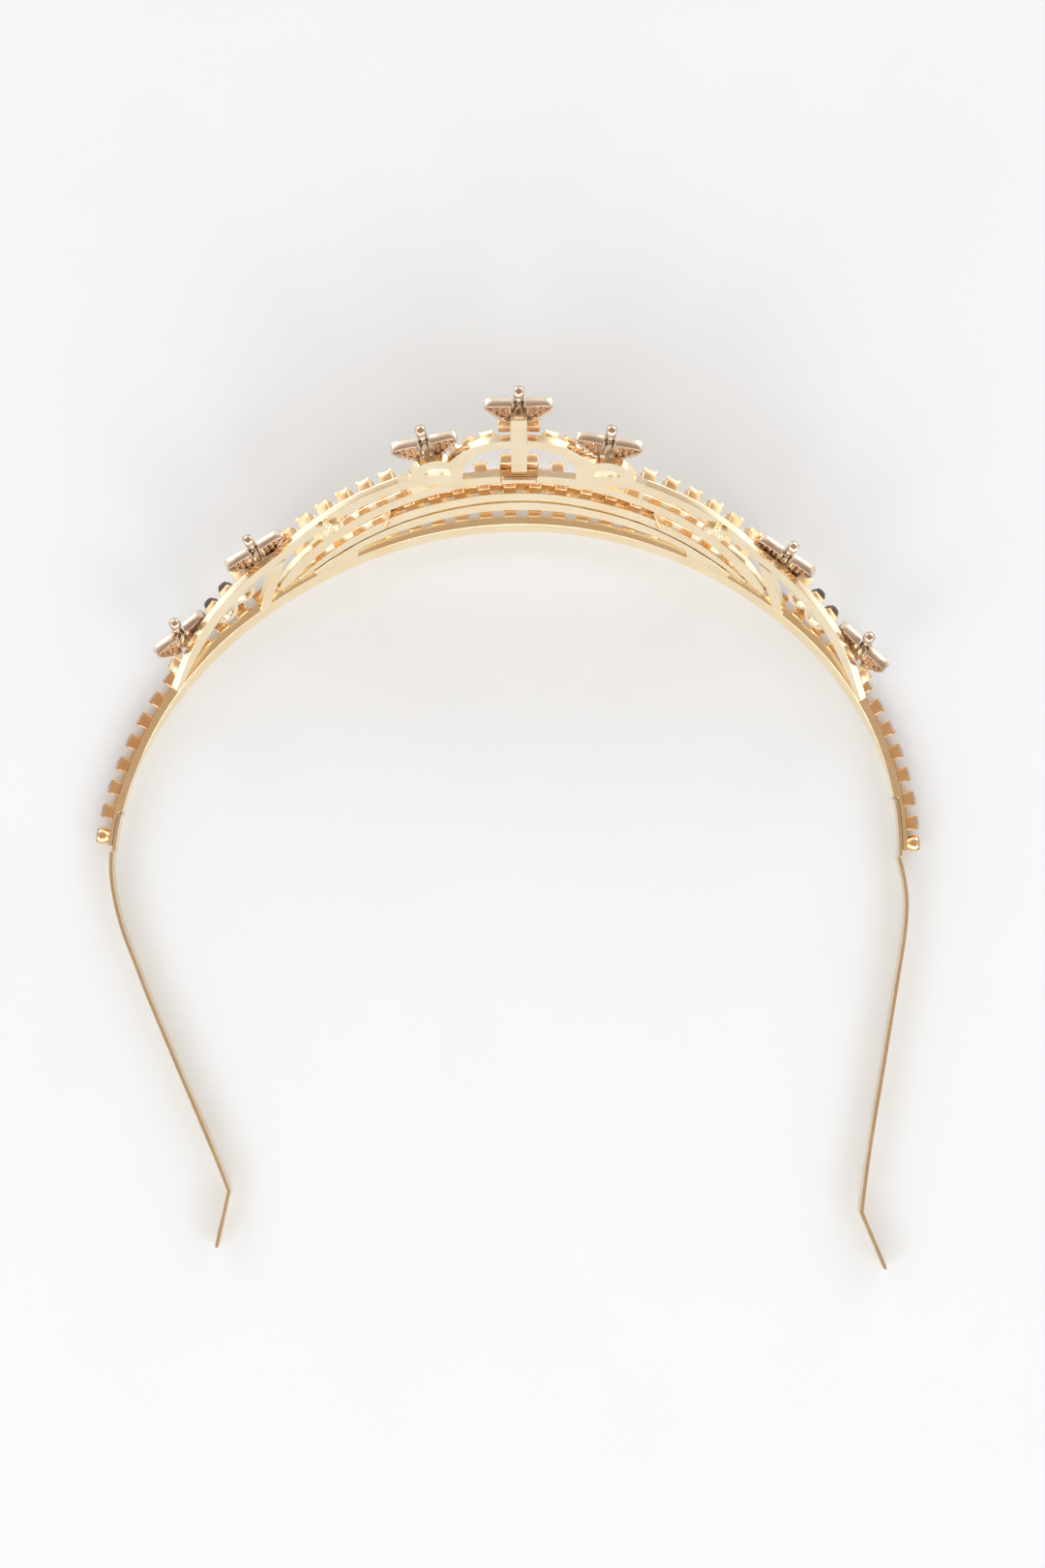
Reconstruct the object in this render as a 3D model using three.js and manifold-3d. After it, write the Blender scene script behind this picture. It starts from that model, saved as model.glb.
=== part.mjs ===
// Bridal tiara: a horseshoe band standing on its lower rim, an openwork crest that leans
// outward above it, rows of stone cups on the outer faces, seven winged motifs and two spring legs.
//
// Sheet coordinates. Everything on the band and the crest is laid out in (s, v, t):
//   s  arc length along the inner lower edge of the band, 0 at the front, positive to the right
//   v  height measured up the leaning sheet
//   t  thickness, 0 on the inner face, growing outward: level on the band, square to the leaning
//      sheet of the crest above it
import * as THREE from 'three';
import { mergeVertices } from 'three/addons/utils/BufferGeometryUtils.js';
import Module from 'manifold-3d';

const wasm = await Module();
wasm.setup();

// ---------- driving dimensions, millimetres and degrees ----------
const FRONT_Y = 44.8;                       // front of the band from the middle of the head space
const BEND_STATIONS = [-100, -50, 0, 50, 100];
const BEND_RADII = [46, 84.5, 72.5, 72, 39]; // hand-bent, so the two sides differ a little
const BAND_END = { left: -98.6, right: 96.4 };
const BAND_HEIGHT = 3.0;
const BAND_THICK = 1.4;
const LEAN = 21;                            // crest leans outward
const LEAN_SKEW = 0.55;                     // the left half leans a little more than the right
const LEAN_KEPT_TO = 55;                    // lean fades from here ...
const LEAN_GONE_AT = 88;                    // ... to upright here
const LEVEL_TO = 3.0;                       // edges are level up to here, the top of the band ...
const SQUARE_FROM = 6.0;                    // ... and square to the sheet from here up
const SHEET_THICK = 1.2;
const GAP = 0.06;                           // soldered faces stand this far apart

const CUP_WIDTH = 2.4;
const CUP_HALF = 1.18;
const CUP_DEPTH = 2.35;
const LINK_HALF = 0.45;
const LINK_DEPTH = 0.5;
const TALL_LINK_DEPTH = 1.7;                // the raised cups are joined by a deep wall, not a thin strip
const BASE_CUPS_PER_SIDE = 23;
const BASE_PITCH = { left: 4.13, right: 4.08 };

const LEG_THICK = 0.65;
const LEG_HEIGHT = 3.0;
const LAP = { left: 6, right: 9.4 };        // length of strip soldered inside the band's end
const LAP_THICK = 0.6;
const TAB_TAIL = { left: 0.8, right: 1.0 }; // the strip shows this far past the band before it flexes

// ---------- materials ----------
const gold = new THREE.MeshStandardMaterial({ color: 0xe3b98c, roughness: 0.18, metalness: 1 });
const cupGold = new THREE.MeshStandardMaterial({ color: 0xd9a878, roughness: 0.22, metalness: 1 });
const motifGold = new THREE.MeshStandardMaterial({ color: 0xc9a183, roughness: 0.2, metalness: 1 });
const stripGold = new THREE.MeshStandardMaterial({ color: 0xc9a982, roughness: 0.3, metalness: 1 });
const crystal = new THREE.MeshStandardMaterial({ color: 0xe8eef2, roughness: 0.03, metalness: 0 });

const parts = [];

function add(name, geometry, material) {
  const mesh = new THREE.Mesh(geometry, material);
  mesh.name = name;
  parts.push(mesh);
}

const rad = THREE.MathUtils.degToRad;

// ---------- the band's plan curve ----------
function bendAt(s) {
  const i = THREE.MathUtils.clamp(Math.floor((s + 100) / 50), 0, BEND_STATIONS.length - 2);
  const u = THREE.MathUtils.clamp((s - BEND_STATIONS[i]) / 50, 0, 1);
  return THREE.MathUtils.lerp(1 / BEND_RADII[i], 1 / BEND_RADII[i + 1], u);
}

const WALK_STEP = 0.25;
const WALK_REACH = 104;

function walkHalf(sign) {
  const rows = [[0, FRONT_Y, 0]];
  let [x, y, heading] = rows[0];
  for (let i = 0; i < WALK_REACH / WALK_STEP; i += 1) {
    const bend = bendAt(sign * (i + 0.5) * WALK_STEP);
    const middle = heading - (sign * bend * WALK_STEP) / 2;
    x += sign * Math.cos(middle) * WALK_STEP;
    y += sign * Math.sin(middle) * WALK_STEP;
    heading -= sign * bend * WALK_STEP;
    rows.push([x, y, heading]);
  }
  return rows;
}

const walkLeft = walkHalf(-1);
const walkRight = walkHalf(1);

function bandAt(s) {
  const rows = s < 0 ? walkLeft : walkRight;
  const f = Math.min(Math.abs(s) / WALK_STEP, rows.length - 1.001);
  const i = Math.floor(f);
  const mix = (k) => THREE.MathUtils.lerp(rows[i][k], rows[i + 1][k], f - i);
  return { x: mix(0), y: mix(1), heading: mix(2) };
}

function leanAt(s) {
  const kept = 1 - THREE.MathUtils.smoothstep(Math.abs(s), LEAN_KEPT_TO, LEAN_GONE_AT);
  const skew = Math.sign(s) * LEAN_SKEW * THREE.MathUtils.smoothstep(Math.abs(s), 0, 20);
  return rad((LEAN - skew) * kept);
}

function warp(s, v, t) {
  const { x, y, heading } = bandAt(s);
  const lean = leanAt(s);
  const tilt = lean * THREE.MathUtils.smoothstep(v, LEVEL_TO, SQUARE_FROM);
  const out = v * Math.sin(lean) + t * Math.cos(tilt);
  const z = v * Math.cos(lean) - t * Math.sin(tilt);
  return new THREE.Vector3(x - Math.sin(heading) * out, y + Math.cos(heading) * out, z);
}

// How much longer a step of s is at this height and offset than on the band's inner edge.
function stretch(s, v, t) {
  return 1 + bendAt(s) * (v * Math.sin(leanAt(s)) + t);
}

// ---------- solid builders ----------
function facingOut(geometry) {
  const p = geometry.attributes.position;
  const index = geometry.index.array;
  const corner = (i) => new THREE.Vector3().fromBufferAttribute(p, index[i]);
  let volume = 0;
  for (let i = 0; i < index.length; i += 3) {
    volume += corner(i).dot(corner(i + 1).cross(corner(i + 2)));
  }
  if (volume < 0) {
    const turned = Array.from(index);
    for (let i = 0; i < turned.length; i += 3) {
      [turned[i], turned[i + 1]] = [turned[i + 1], turned[i]];
    }
    geometry.setIndex(turned);
  }
  return geometry;
}

// A closed solid through rings of equal point count; rings are planar and convex.
function sweep(rings) {
  const n = rings[0].length;
  const points = rings.flat().flatMap((p) => [p.x, p.y, p.z]);
  const faces = [];
  for (let r = 0; r < rings.length - 1; r += 1) {
    for (let k = 0; k < n; k += 1) {
      const a = r * n + k;
      const b = r * n + ((k + 1) % n);
      faces.push(a, b, b + n, a, b + n, a + n);
    }
  }
  const last = (rings.length - 1) * n;
  for (let k = 1; k < n - 1; k += 1) {
    faces.push(0, k + 1, k);
    faces.push(last, last + k, last + k + 1);
  }
  const geometry = new THREE.BufferGeometry();
  geometry.setAttribute('position', new THREE.Float32BufferAttribute(points, 3));
  geometry.setIndex(faces);
  return facingOut(geometry);
}

// A strip of sheet through rows of [lower point, upper point], each point [s, v].
function ribbon(rows, t0 = 0, t1 = SHEET_THICK) {
  return sweep(rows.map(([low, high, inner = t0, outer = t1]) => [
    warp(low[0], low[1], inner),
    warp(high[0], high[1], inner),
    warp(high[0], high[1], outer),
    warp(low[0], low[1], outer),
  ]));
}

// Rows of a rail from stations [s, lower edge, upper edge], smoothed between the stations.
function railRows(stations, steps) {
  const low = new THREE.SplineCurve(stations.map(([s, lo]) => new THREE.Vector2(s, lo)));
  const high = new THREE.SplineCurve(stations.map(([s, , hi]) => new THREE.Vector2(s, hi)));
  return Array.from({ length: steps + 1 }, (_, i) => {
    return [low.getPoint(i / steps).toArray(), high.getPoint(i / steps).toArray()];
  });
}

const mirrored = (stations) => stations.map(([s, ...rest]) => [-s, ...rest]).reverse();
const onSide = (stations, side) => stations.map(([s, ...rest]) => [side * s, ...rest]);

// A bar of constant width along a centre line of [s, v] points.
function barRows(path, width) {
  return path.map((point, i) => {
    const before = path[Math.max(i - 1, 0)];
    const after = path[Math.min(i + 1, path.length - 1)];
    const ds = after[0] - before[0];
    const dv = after[1] - before[1];
    const half = width / 2 / Math.hypot(ds, dv);
    return [
      [point[0] + dv * half, point[1] - ds * half],
      [point[0] - dv * half, point[1] + ds * half],
    ];
  });
}

// Cuts every triangle of a flat solid at even columns of s, so it can follow the band's curve.
const COLUMN = 2.6;
const COLUMN_SHIFT = 0.37;

function clip(polygon, limit, side) {
  const kept = [];
  polygon.forEach((a, i) => {
    const b = polygon[(i + 1) % polygon.length];
    const da = side * (a.x - limit);
    const db = side * (b.x - limit);
    if (da >= 0) kept.push(a);
    if ((da > 0 && db < 0) || (da < 0 && db > 0)) kept.push(a.clone().lerp(b, da / (da - db)));
  });
  return kept;
}

function inColumns(geometry) {
  const flat = geometry.index ? geometry.toNonIndexed() : geometry;
  const p = flat.attributes.position;
  const out = [];
  for (let i = 0; i < p.count; i += 3) {
    const triangle = [0, 1, 2].map((k) => new THREE.Vector3().fromBufferAttribute(p, i + k));
    const from = Math.min(...triangle.map((q) => q.x));
    const to = Math.max(...triangle.map((q) => q.x));
    const first = Math.floor((from - COLUMN_SHIFT) / COLUMN);
    const last = Math.floor((to - COLUMN_SHIFT) / COLUMN);
    for (let c = first; c <= last; c += 1) {
      const left = c * COLUMN + COLUMN_SHIFT;
      const piece = clip(clip(triangle, left, 1), left + COLUMN, -1);
      for (let k = 1; k < piece.length - 1; k += 1) out.push(piece[0], piece[k], piece[k + 1]);
    }
  }
  return out;
}

// A flat outline in (s, v) turned into a plate on the sheet between two depths.
function plate(shape, t0, t1) {
  const flat = new THREE.ExtrudeGeometry(shape, { depth: t1 - t0, bevelEnabled: false, steps: 1 });
  const points = inColumns(flat).map((q) => warp(q.x, q.y, q.z + t0));
  let geometry = new THREE.BufferGeometry().setFromPoints(points);
  geometry = mergeVertices(geometry, 1e-4);
  return facingOut(withoutSlivers(geometry));
}

function withoutSlivers(geometry) {
  const index = geometry.index.array;
  const kept = [];
  for (let i = 0; i < index.length; i += 3) {
    const [a, b, c] = [index[i], index[i + 1], index[i + 2]];
    if (a !== b && b !== c && a !== c) kept.push(a, b, c);
  }
  geometry.setIndex(kept);
  return geometry;
}

// ---------- base band ----------
const SECTION_STEP = 3;
const LAP_STEP = 1.6;

function bandRows() {
  const rows = [];
  const recessLeft = BAND_END.left + LAP.left;
  const recessRight = BAND_END.right - LAP.right;
  const thinned = LAP_THICK + GAP;
  const put = (from, to, step, inner) => {
    const count = Math.round((to - from) / step);
    for (let i = 0; i <= count; i += 1) {
      const s = THREE.MathUtils.lerp(from, to, i / count);
      rows.push([[s, 0], [s, BAND_HEIGHT], inner, BAND_THICK]);
    }
  };
  put(BAND_END.left, recessLeft - 0.1, LAP_STEP, thinned);
  put(recessLeft + 0.1, recessRight - 0.1, SECTION_STEP, 0);
  put(recessRight + 0.1, BAND_END.right, LAP_STEP, thinned);
  return rows;
}

add('base_band', ribbon(bandRows()), gold);

// ---------- rails of the crest, stations [s, lower edge, upper edge] ----------
const CREST_END = 19;

const RAIL_A = [
  [CREST_END + 0.03, 21.05, 23.85], [25, 19.8, 22.65], [30, 18.3, 21.2], [35, 16.3, 19.2],
  [40, 14.3, 16.8], [45, 13.2, 15.7], [50, 11.6, 14.4], [55, 9.6, 12.5], [60, 7.2, 10.3],
  [64, 5.0, 8.0], [67.6, 3.15, 5.4], [69, 3.1, 4.3],
];
const RAIL_B = [
  [CREST_END + 0.03, 15.9, 18.5], [25, 14.3, 17.1], [30, 12.3, 15.3], [35, 9.6, 12.9],
  [38, 7.6, 11.3], [40, 6.3, 10.0], [42, 5.1, 8.2], [43.9, 4.9, 6.3],
];
const RAIL_C_HALF = [
  [5, 11.9, 14.6], [10, 11.4, 14.1], [15, 10.8, 13.6], [20, 9.95, 12.9], [25, 8.8, 11.6],
  [30, 7.6, 10.0], [35, 6.1, 8.0], [39, 5.1, 6.2], [40.2, 5.0, 5.6],
];
const RAIL_C = [...mirrored(RAIL_C_HALF), [0, 12, 14.7], ...RAIL_C_HALF];
const RAIL_D_HALF = [
  [5, 8.35, 11.2], [10, 8.0, 10.7], [15, 7.45, 10.15], [20, 6.8, 9.5], [24.5, 6.15, 8.55],
  [28.6, 5.6, 7.55],
];
const RAIL_D = [...mirrored(RAIL_D_HALF), [0, 8.45, 11.35], ...RAIL_D_HALF];
const RAIL_D_FOOT = [[29.4, 3.12, 7.3], [34, 3.12, 5.9], [37.3, 3.3, 4.6]];

const asRows = (stations) => stations.map(([s, lo, hi]) => [[s, lo], [s, hi]]);

for (const [side, label] of [[-1, 'left'], [1, 'right']]) {
  add(`rail_a_${label}`, ribbon(railRows(onSide(RAIL_A, side), 22)), gold);
  add(`rail_b_${label}`, ribbon(railRows(onSide(RAIL_B, side), 14)), gold);
}
add('rail_c', ribbon(railRows(RAIL_C, 36)), gold);
add('rail_d', ribbon([
  ...asRows(mirrored(RAIL_D_FOOT)), ...railRows(RAIL_D, 24), ...asRows(RAIL_D_FOOT),
]), gold);

// Ribs that close the fan: from the underside of rail A down to the band.
const RIB_INNER = [[40.2, 13.98], [42.3, 9.9], [44.6, 6.2], [46.7, 3.12]];
const RIB_OUTER = [[42.8, 13.45], [44.7, 10.3], [46.7, 6.9], [48.7, 3.12]];

for (const [side, label] of [[-1, 'left'], [1, 'right']]) {
  const rows = RIB_INNER.map((p, i) => [[side * p[0], p[1]], [side * RIB_OUTER[i][0], RIB_OUTER[i][1]]]);
  add(`fan_rib_${label}`, ribbon(rows), gold);
}

// ---------- crest panel: the bed of rails A and B, two scallops and the large arch ----------
const POST = { s: -0.5, width: 2.7, foot: 21.2, top: 40.9, thick: 1.0, inFoot: 0.25, rise: -0.028 };
const ARCH = { s: -0.5, foot: 21.1, innerHalf: 8.75, innerRise: 9.8, bar: 2.6, power: 2.35 };
const SCALLOP = { s: 13.3, foot: 23.6, half: 3.9, rise: 5.2 };
const HALF_MOON = [[10.95, 23.1], [14.9, 24.5], [14.5, 25.7], [13.4, 26.5], [12.0, 26.4], [11.1, 25.2]];

const postHalf = (v) => POST.width / 2 / stretch(0, v, 0.5);

function archPoint(angle, grow) {
  const c = Math.cos(angle);
  const k = Math.sin(angle);
  const round = (value) => Math.sign(value) * Math.abs(value) ** (2 / ARCH.power);
  return [
    ARCH.s + (ARCH.innerHalf + grow) * round(c),
    ARCH.foot + (ARCH.innerRise + grow) * round(k),
  ];
}

function archEdge(grow, fromDeg, toDeg, steps) {
  return Array.from({ length: steps + 1 }, (_, i) => {
    return archPoint(rad(THREE.MathUtils.lerp(fromDeg, toDeg, i / steps)), grow);
  });
}

function scallopEdge(side, fromDeg, toDeg, steps) {
  return Array.from({ length: steps + 1 }, (_, i) => {
    const a = rad(THREE.MathUtils.lerp(fromDeg, toDeg, i / steps));
    return [side * (SCALLOP.s + SCALLOP.half * Math.cos(a)), SCALLOP.foot + SCALLOP.rise * Math.sin(a)];
  });
}

const BED_LOW = [[4, 18.6], [9, 18.1], [14, 17.1], [CREST_END, 15.92]];
const SLOT = [[CREST_END, 18.48], [15.6, 19.5], [12.4, 20.3], [15.6, 21.25], [CREST_END, 21.07]];

// Right half outline from the band side round to the post slot.
function crestHalf(side) {
  const slotEdge = POST.s + side * (postHalf(31) + GAP);
  const outer = archEdge(ARCH.bar, 36, 90, 9).map(([s, v]) => [ARCH.s + side * (s - ARCH.s), v]);
  const inner = archEdge(0, 90, 0, 10).map(([s, v]) => [ARCH.s + side * (s - ARCH.s), v]);
  const beyondSlot = ([s]) => side * (s - slotEdge) > 0.3;
  const outerKept = outer.filter(beyondSlot);
  const innerKept = inner.filter(beyondSlot);
  return [
    ...onSide(BED_LOW, side),
    ...onSide(SLOT, side),
    [side * CREST_END, 23.87],
    ...scallopEdge(side, 8, 128, 8),
    ...outerKept,
    [slotEdge, ARCH.foot + ARCH.innerRise + ARCH.bar],
    [slotEdge, ARCH.foot + ARCH.innerRise],
    ...innerKept,
  ];
}

function crestShape() {
  const outline = [...crestHalf(1), ...crestHalf(-1).reverse()];
  const shape = new THREE.Shape(outline.map(([s, v]) => new THREE.Vector2(s, v)));
  for (const side of [-1, 1]) {
    shape.holes.push(new THREE.Path(onSide(HALF_MOON, side).map(([s, v]) => new THREE.Vector2(s, v))));
  }
  return shape;
}

add('crest_panel', plate(crestShape(), 0, SHEET_THICK), gold);

// ---------- centre post and blank name plate ----------
function postRing(v) {
  const half = postHalf(v);
  const inner = POST.inFoot + POST.rise * (v - POST.foot);
  const outer = inner + POST.thick;
  return [
    warp(POST.s - half, v, inner),
    warp(POST.s + half, v, inner),
    warp(POST.s + half, v, outer),
    warp(POST.s - half, v, outer),
  ];
}

add('centre_post', sweep([POST.foot, 26, 31, 36, POST.top].map(postRing)), gold);

const NAME_PLATE = { s: -0.3, v: 19.85, half: 2.9, rise: 1.0, corner: 0.35, thick: 0.3 };

function roundedPlate({ s, v, half, rise, corner }) {
  const shape = new THREE.Shape();
  const corners = [[half, -rise, -90], [half, rise, 0], [-half, rise, 90], [-half, -rise, 180]];
  corners.forEach(([ds, dv, start]) => {
    const cs = s + ds - Math.sign(ds) * corner;
    const cv = v + dv - Math.sign(dv) * corner;
    shape.absarc(cs, cv, corner, rad(start), rad(start + 90), false);
  });
  return new THREE.Shape(shape.getPoints(2));
}

add('name_plate', plate(roundedPlate(NAME_PLATE), -GAP - NAME_PLATE.thick, -GAP), gold);

// ---------- leaf clusters between rails A and B, and the scrolls under rail A ----------
const LEAF = { s: 31.8, v: 17.5, radius: 1.75, lobe: 0.5, lobes: 3, thick: 0.6 };
const SCROLL = [
  [47.4, 12.1], [47.5, 10.6], [48.1, 9.5], [49.1, 9.1], [50.2, 9.6], [50.9, 10.7], [51.5, 9.3],
  [52.3, 7.8], [53.4, 7.3], [54.5, 7.9], [55.1, 9.1],
];
const SCROLL_WIDTH = 0.85;

function leafShape(side) {
  const points = Array.from({ length: 18 }, (_, i) => {
    const a = (i / 18) * Math.PI * 2;
    const r = LEAF.radius + LEAF.lobe * Math.cos(LEAF.lobes * a + Math.PI);
    return new THREE.Vector2(side * (LEAF.s + r * Math.cos(a)), LEAF.v + r * 1.15 * Math.sin(a));
  });
  return new THREE.Shape(points);
}

for (const [side, label] of [[-1, 'left'], [1, 'right']]) {
  add(`leaf_${label}`, plate(leafShape(side), -GAP - LEAF.thick, -GAP), gold);
  add(`scroll_${label}`, ribbon(barRows(onSide(SCROLL, side), SCROLL_WIDTH), 0.1, 1.0), gold);
}

// ---------- rows of stone cups ----------
// A cup sits at [s, v]; slope is the rail's direction there; up and down are its half heights.
function cupRing(cup, along, up, down, t0, t1) {
  const cos = 1 / Math.hypot(1, cup.slope);
  const sin = cup.slope * cos;
  const s = cup.s + (along * cos) / stretch(cup.s, cup.v, t1);
  const v = cup.v + along * sin;
  return [
    warp(s - sin * up, v + cos * up, t0),
    warp(s - sin * up, v + cos * up, t1),
    warp(s + sin * down, v - cos * down, t1),
    warp(s + sin * down, v - cos * down, t0),
  ];
}

function cupRow(cups, sheet = SHEET_THICK, depth = CUP_DEPTH) {
  const back = sheet + GAP;
  const rings = [];
  cups.forEach((cup, i) => {
    const { up = CUP_HALF, down = CUP_HALF } = cup;
    const half = CUP_WIDTH / 2;
    const reach = cup.link ? TALL_LINK_DEPTH : LINK_DEPTH;
    const link = [cup.link ?? LINK_HALF, LINK_HALF, back + 0.12, back + reach];
    if (i > 0) rings.push(cupRing(cup, -half, ...link));
    rings.push(cupRing(cup, -half, up, down, back, back + depth));
    rings.push(cupRing(cup, half, up, down, back, back + depth));
    if (i < cups.length - 1) rings.push(cupRing(cup, half, ...link));
  });
  return sweep(rings);
}

// Cups spread evenly along a rail, on its centre line.
function cupsOnRail(stations, from, pitch, count) {
  const middle = new THREE.SplineCurve(stations.map(([s, lo, hi]) => new THREE.Vector2(s, (lo + hi) / 2)));
  const points = middle.getPoints(200);
  const height = (s) => {
    const within = points.findIndex((p, k) => k > 0 && (p.x - s) * (points[k - 1].x - s) <= 0);
    const i = Math.max(within, 1);
    const [a, b] = [points[i - 1], points[i]];
    return THREE.MathUtils.lerp(a.y, b.y, (s - a.x) / (b.x - a.x));
  };
  return Array.from({ length: count }, (_, i) => {
    const s = from + i * pitch;
    return { s, v: height(s), slope: height(s + 0.4) / 0.8 - height(s - 0.4) / 0.8 };
  });
}

const towards = (side, cups) => (side < 0 ? cups.reverse() : cups);

for (const [side, label] of [[-1, 'left'], [1, 'right']]) {
  const pitch = BASE_PITCH[label];
  const base = Array.from({ length: BASE_CUPS_PER_SIDE }, (_, i) => {
    return { s: side * pitch * (i + 0.5), v: BAND_HEIGHT / 2, slope: 0 };
  });
  add(`cup_row_base_${label}`, cupRow(towards(side, base), BAND_THICK), cupGold);
}

const ROW_A = { left: { from: 20.4, pitch: 3.49 }, right: { from: 18.9, pitch: 3.61 } };
const ROW_A_OUTER = { from: 47.55, pitch: 3.4, count: 3 };
const ROW_B_SIDE = { from: 22.0, pitch: 3.75, count: 5 };
const ROW_B_CENTRE = [-18.2, -14.2, -10.3, -6.35, -2.35, 1.35, 5.3, 9.3, 13.2, 17.4];
const ROW_C = { pitch: 4.03, count: 19, tallTo: 21, lift: 1.05, half: 1.5, link: 1.45 };

for (const [side, label] of [[-1, 'left'], [1, 'right']]) {
  const spread = (stations, { from, pitch, count }) => {
    return towards(side, cupsOnRail(onSide(stations, side), side * from, side * pitch, count));
  };
  add(`cup_row_a_${label}`, cupRow(spread(RAIL_A, { ...ROW_A[label], count: 6 })), cupGold);
  add(`cup_row_a_outer_${label}`, cupRow(spread(RAIL_A, ROW_A_OUTER)), cupGold);
  add(`cup_row_b_${label}`, cupRow(spread(RAIL_B, ROW_B_SIDE)), cupGold);
}

const TALL_CUP = { up: 3.6, down: 1.15 };
const centreCups = ROW_B_CENTRE.map((s) => {
  const beside = Math.abs(s - POST.s) < 2;
  const v = 19.9 - 0.008 * (s * s);
  return { s, v, slope: 0, ...(beside ? TALL_CUP : {}) };
});
add('cup_row_b_centre', cupRow(centreCups), cupGold);

// The links between the middle cups of row C stand as tall as the cups and close the gap under rail B.
const cCups = cupsOnRail(RAIL_C, -ROW_C.pitch * 9, ROW_C.pitch, ROW_C.count).map((cup) => {
  const { lift, half, link } = ROW_C;
  const tall = Math.abs(cup.s) < ROW_C.tallTo;
  return tall ? { ...cup, v: cup.v + lift, up: half, down: half, link } : cup;
});
add('cup_row_c', cupRow(cCups), cupGold);

// Three cups climb each side of the arch, and a pair stands at the foot of the centre motif.
const ARCH_CUP_ANGLES = [31, 51, 68];
const ARCH_CUP_DEPTH = 1.6;

function archCups(side) {
  const cups = ARCH_CUP_ANGLES.map((angle) => {
    const [s, v] = archPoint(rad(angle), ARCH.bar / 2 - 0.2);
    const [s2, v2] = archPoint(rad(angle + 3), ARCH.bar / 2 - 0.2);
    return { s: ARCH.s + side * (s - ARCH.s), v, slope: (side * (v2 - v)) / (s2 - s) };
  });
  return side > 0 ? cups.reverse() : cups;
}

for (const [side, label] of [[-1, 'left'], [1, 'right']]) {
  add(`cup_row_arch_${label}`, cupRow(archCups(side), SHEET_THICK, ARCH_CUP_DEPTH), cupGold);
}
const pair = [-1, 1].map((side) => ({ s: POST.s + side * 1.9, v: 35.2, slope: 0, up: 0.95, down: 0.95 }));
add('cup_pair_crest', cupRow(pair), cupGold);

// A single cup closes each end of rail A, and a round setting with its crystal ends the band.
for (const [side, label] of [[-1, 'left'], [1, 'right']]) {
  const cup = { s: side * 65.4, v: 5.35, slope: side * -0.6, up: 1, down: 1 };
  add(`cup_end_rail_${label}`, cupRow([cup]), cupGold);
}

const END_CUP = { radius: 1.45, depth: 2.3, seat: 1.15, sides: 12 };

function roundSetting(s, v, profile) {
  const { heading } = bandAt(s);
  const outward = new THREE.Vector3(-Math.sin(heading), Math.cos(heading), 0);
  const along = new THREE.Vector3(Math.cos(heading), Math.sin(heading), 0);
  const up = new THREE.Vector3(0, 0, 1);
  const rings = profile.map(([r, depth]) => Array.from({ length: END_CUP.sides }, (_, k) => {
    const a = (k / END_CUP.sides) * Math.PI * 2;
    return warp(s, v, BAND_THICK + GAP + 0.02)
      .addScaledVector(outward, depth)
      .addScaledVector(along, r * Math.cos(a))
      .addScaledVector(up, r * Math.sin(a));
  }));
  return sweep(rings);
}

const CRYSTAL_PROFILE = [[0.55, 0.66], [1.05, 1.1], [1.12, 1.75], [1.12, 2.2], [0.7, 2.55]];
const COLLET_PROFILE = [
  [1.0, 0], [END_CUP.radius, 0.5], [END_CUP.radius, END_CUP.depth], [END_CUP.seat + 0.05, END_CUP.depth],
  [END_CUP.seat + 0.05, 1.0], [0.62, 0.56],
];

for (const [label, s] of [['left', -97.2], ['right', 95.2]]) {
  add(`end_setting_${label}`, roundSetting(s, 1.5, COLLET_PROFILE), cupGold);
  add(`end_crystal_${label}`, roundSetting(s, 1.5, CRYSTAL_PROFILE), crystal);
}

// ---------- winged motifs ----------
// Local axes: x along the sheet, y up the sheet, z outward from its outer face.
const WING = [
  [1.3, -0.9], [2.4, -0.3], [3.7, 0.8], [4.9, 2.3], [5.55, 3.7], [5.3, 4.35], [3.2, 4.5], [1.3, 4.35],
];
const WING_THICK = 1.75;
const SHIELD = [[0, -1.4], [1.0, -0.1], [1.7, 1.7], [1.7, 5.1], [-1.7, 5.1], [-1.7, 1.7], [-1.0, -0.1]];
const SHIELD_THICK = 0.6;
const BODY = [
  [0.12, 0.2], [0.55, 0.7], [0.9, 1.8], [1.08, 3.0], [0.95, 4.2], [0.72, 4.7], [1.05, 5.3],
  [1.1, 5.9], [0.75, 6.5], [0.8, 6.9], [0.3, 7.5],
];
const BODY_CENTRE = 1.85;
const BODY_SIDES = 10;

const MOTIFS = [
  { name: 'motif_centre', s: -0.5, v: 38.4, turn: 0, back: 1.25 },
  { name: 'motif_inner_left', s: -13.9, v: 28.2, turn: 2 },
  { name: 'motif_inner_right', s: 12.3, v: 28.3, turn: 0 },
  { name: 'motif_mid_left', s: -43.8, v: 15.0, turn: -3 },
  { name: 'motif_mid_right', s: 43.2, v: 14.2, turn: 0 },
  { name: 'motif_outer_left', s: -62.0, v: 8.1, turn: -14, back: 1.85 },
  { name: 'motif_outer_right', s: 62.6, v: 8.1, turn: 14, back: 1.85 },
];

function toSolid(geometry) {
  geometry.deleteAttribute('normal');
  geometry.deleteAttribute('uv');
  const merged = facingOut(mergeVertices(geometry, 1e-4));
  return new wasm.Manifold(new wasm.Mesh({
    numProp: 3,
    vertProperties: new Float32Array(merged.attributes.position.array),
    triVerts: new Uint32Array(merged.index.array),
  }));
}

function fromSolid(solid) {
  const mesh = solid.getMesh();
  const geometry = new THREE.BufferGeometry();
  geometry.setAttribute('position', new THREE.BufferAttribute(mesh.vertProperties, 3));
  geometry.setIndex(Array.from(mesh.triVerts));
  return geometry;
}

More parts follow.
